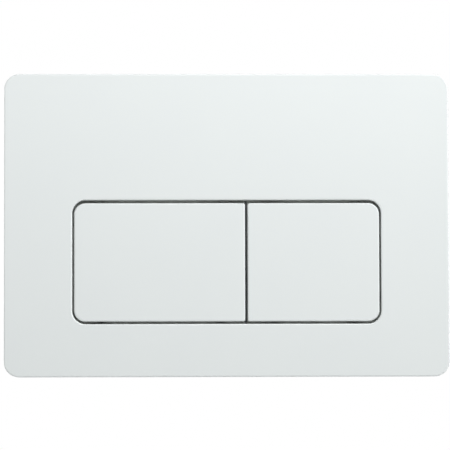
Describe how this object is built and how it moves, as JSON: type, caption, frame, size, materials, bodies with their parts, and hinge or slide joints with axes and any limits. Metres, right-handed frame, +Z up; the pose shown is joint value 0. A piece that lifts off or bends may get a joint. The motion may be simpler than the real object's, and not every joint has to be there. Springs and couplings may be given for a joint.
{
  "type": "flush button plate",
  "caption": "Rectangular wall plate with rounded corners and flush hinged buttons for a concealed cistern, with spring plungers and a mounting frame behind it.",
  "frame": {"origin": "middle of the plate's rear rim, on the face of the wall", "axes": "+X to the right as seen from the front, +Y into the wall, +Z up"},
  "size_m": [0.22, 0.078, 0.15],
  "materials": {
    "white_abs": "smooth, semi-gloss",
    "grey_polypropylene": "fine moulded texture",
    "natural_acetal": "turned, satin",
    "blue_acetal": "moulded, satin",
    "black_rubber": "matt",
    "stainless_steel": "drawn, bright",
    "spring_steel": "rolled strip",
    "zinc_plated_steel": "zinc plated"
  },
  "bodies": {
    "plate_and_frame": {"axle_retaining_rings": "spring_steel", "fixing_bolts": "zinc_plated_steel", "fixing_nuts": "zinc_plated_steel", "fixing_washers": "zinc_plated_steel", "frame_clip_lower_left": "spring_steel", "frame_clip_lower_right": "spring_steel", "frame_clip_upper_left": "spring_steel", "frame_clip_upper_right": "spring_steel", "front_plate": "white_abs", "full_return_spring": "stainless_steel", "half_return_spring": "stainless_steel", "hinge_axle": "stainless_steel", "mounting_frame": "grey_polypropylene"},
    "full_button": {"full_flush_button": "white_abs", "full_buffer_left": "black_rubber", "full_buffer_right": "black_rubber"},
    "full_plunger": {"full_push_rod": "natural_acetal", "full_rod_head": "blue_acetal", "full_rod_lock_nut": "blue_acetal"},
    "half_button": {"half_flush_button": "white_abs", "half_buffer_left": "black_rubber", "half_buffer_right": "black_rubber"},
    "half_plunger": {"half_push_rod": "natural_acetal", "half_rod_head": "blue_acetal", "half_rod_lock_nut": "blue_acetal"}
  },
  "joints": [
    {"name": "full_button_hinge", "type": "hinge", "parent": "plate_and_frame", "child": "full_button", "pos_m": [-0.0332, 0.0028, 0.0186], "axis": [1, 0, 0], "range_deg": [0, 6], "stiffness_Nm_per_rad": 1, "springref_deg": -5.73},
    {"name": "half_button_hinge", "type": "hinge", "parent": "plate_and_frame", "child": "half_button", "pos_m": [0.04285, 0.0028, 0.0186], "axis": [1, 0, 0], "range_deg": [0, 6], "stiffness_Nm_per_rad": 1, "springref_deg": -5.73},
    {"name": "full_plunger_slide", "type": "slide", "parent": "plate_and_frame", "child": "full_plunger", "axis": [0, 1, 0], "range_m": [0, 0.00477], "deforming": ["full_return_spring"]},
    {"name": "half_plunger_slide", "type": "slide", "parent": "plate_and_frame", "child": "half_plunger", "axis": [0, 1, 0], "range_m": [0, 0.00477], "deforming": ["half_return_spring"]}
  ],
  "couplings": [
    {"joint": "full_plunger_slide", "follows": "full_button_hinge", "m_per_rad": 0.045474},
    {"joint": "half_plunger_slide", "follows": "half_button_hinge", "m_per_rad": 0.045474}
  ]
}
